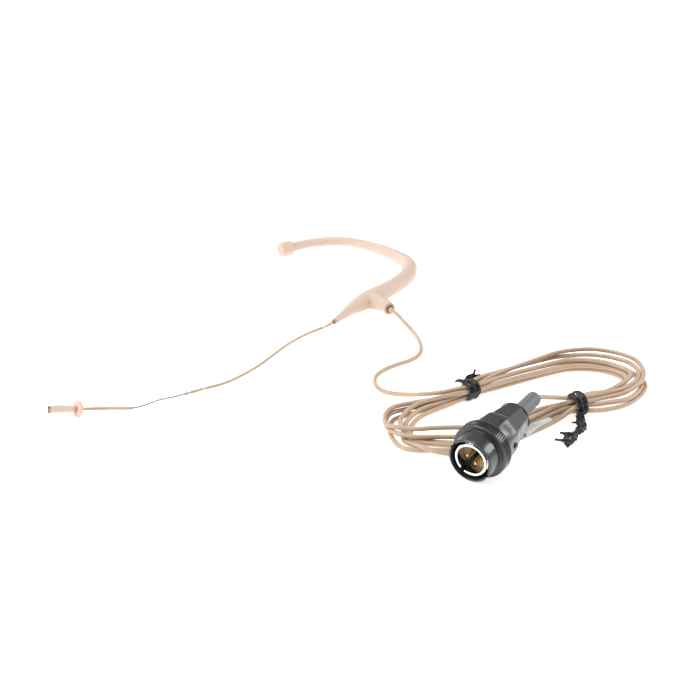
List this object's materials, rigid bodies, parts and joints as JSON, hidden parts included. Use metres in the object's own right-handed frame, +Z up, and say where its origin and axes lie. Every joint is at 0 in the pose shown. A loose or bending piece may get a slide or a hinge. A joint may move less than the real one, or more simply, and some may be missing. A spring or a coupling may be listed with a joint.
{
  "type": "headset microphone",
  "caption": "Ear-worn headset microphone with a flexible wire boom, small capsule, ear hook, and a detachable cable hanked with twist ties that ends in a bayonet plug.",
  "frame": {"origin": "on the table under the middle of the ear piece and boom, at their bounding box's bottom centre, with the part lying flat", "axes": "+Z up from the table; +Y runs from the capsule end towards the far arm of the ear hook; +X from the capsule towards the plug's side"},
  "size_m": [0.1892, 0.1894, 0.0167],
  "materials": {
    "hook_skin": "matte moulded elastomer, pale skin tone",
    "tip_plastic": "matte moulded plastic, pale skin tone",
    "ferrule": "satin tan plastic",
    "steel_wire": "drawn stainless wire",
    "lead_red": "insulated hook-up lead",
    "gold_contact": "gold plated",
    "white_insulator": "white fluoropolymer",
    "boom_coating": "tan polymer coating, chipped in places",
    "capsule_skin": "pale skin-tone paint",
    "ring_pink": "soft pink silicone",
    "rubber_dark": "black rubber",
    "board_green": "solder mask",
    "mesh_grey": "fine wire mesh",
    "black_plastic": "black plastic",
    "cable_tan": "satin tan jacket",
    "tie_black": "glossy black twist tie",
    "clear_sleeve": "translucent heat-shrink sleeve",
    "plug_black": "satin black coated metal",
    "silver_metal": "bright plated",
    "insert_brown": "brown moulded insulator",
    "boot_grey": "grey rubber"
  },
  "bodies": {
    "ear_hook_body": {"ear_hook": "hook_skin", "hook_core_wire": "steel_wire", "hook_tip_cap": "tip_plastic", "nose_ferrule": "ferrule", "inner_lead": "lead_red", "branch_collar": "ferrule", "socket_barrel": "gold_contact", "socket_insulator": "white_insulator", "socket_contact": "gold_contact"},
    "boom_body": {"boom_wire": "steel_wire", "boom_coating_front": "boom_coating", "boom_coating_islands": "boom_coating", "boom_coating_rear": "boom_coating", "capsule_neck": "gold_contact", "capsule_body": "capsule_skin", "element_can": "silver_metal", "element_gasket": "rubber_dark", "amplifier_board": "board_green"},
    "moisture_ring_body": {"moisture_ring": "ring_pink"},
    "cap_body": {"protective_cap": "capsule_skin", "cap_mesh": "mesh_grey", "cap_ring": "black_plastic"},
    "cable_body": {"ear_plug_barrel": "gold_contact", "ear_plug_insulator": "white_insulator", "ear_plug_pin": "gold_contact", "ear_plug_relief": "cable_tan", "cable_lead": "cable_tan", "cable_hank": "cable_tan", "cable_tail": "cable_tan", "twist_tie_1": "tie_black", "twist_tie_2": "tie_black", "label_sleeve": "clear_sleeve", "thrust_washer": "silver_metal", "plug_shell": "silver_metal", "shell_spring": "silver_metal", "plug_insulator": "insert_brown", "key_bar": "black_plastic", "contact_pins": "gold_contact", "termination_board": "board_green", "backshell": "plug_black", "lock_screw": "silver_metal", "cable_clamp": "silver_metal", "strain_relief_boot": "boot_grey"},
    "coupling_body": {"coupling_ring": "plug_black"}
  },
  "joints": [
    {"name": "boom_bend", "type": "hinge", "parent": "ear_hook_body", "child": "boom_body", "pos_m": [0.02655, -0.00718, 0.003], "axis": [0, 0, 1], "range_deg": [-20, 20]},
    {"name": "ring_slide", "type": "slide", "parent": "boom_body", "child": "moisture_ring_body", "axis": [0.7243, 0.6078, -0.3256], "range_m": [0, 0.0016]},
    {"name": "cap_pull", "type": "slide", "parent": "boom_body", "child": "cap_body", "axis": [-0.7243, -0.6078, 0.3256], "range_m": [0, 0.005]},
    {"name": "cable_pull", "type": "slide", "parent": "ear_hook_body", "child": "cable_body", "axis": [0.4848, -0.8746, 0], "range_m": [0, 0.006]},
    {"name": "coupling_turn", "type": "hinge", "parent": "cable_body", "child": "coupling_body", "pos_m": [0.0654, -0.1088, 0.008], "axis": [0.5756, 0.816, 0.0523], "range_deg": [0, 90]}
  ]
}
